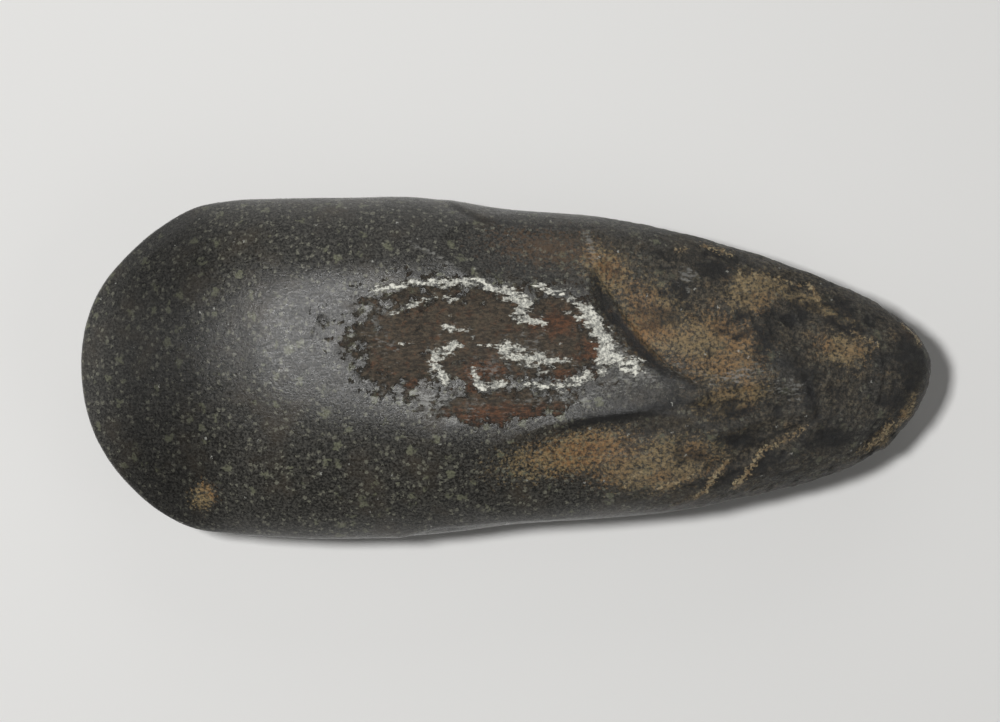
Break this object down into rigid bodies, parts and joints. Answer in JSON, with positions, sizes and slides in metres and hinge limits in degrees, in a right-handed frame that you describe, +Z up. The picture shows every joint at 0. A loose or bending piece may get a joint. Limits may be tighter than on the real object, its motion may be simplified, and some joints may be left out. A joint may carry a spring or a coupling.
{
  "type": "polished stone axe head",
  "caption": "Ground and polished stone axe head: broad curved cutting edge, flat-topped body and tapering flaked butt; hafts by its butt.",
  "frame": {"origin": "centre of the bounding box's underside, on the plane that the stone rests on", "axes": "+X along the stone from the cutting edge to the butt, +Z up through its thickness, +Y across it"},
  "size_m": [0.2, 0.0805, 0.0425],
  "materials": {
    "dark_stone": "dark fine-grained basalt, polished at the blade and weathered brown and ochre towards the butt"
  },
  "bodies": {
    "root": {"axe_head": "dark_stone"}
  },
  "joints": []
}
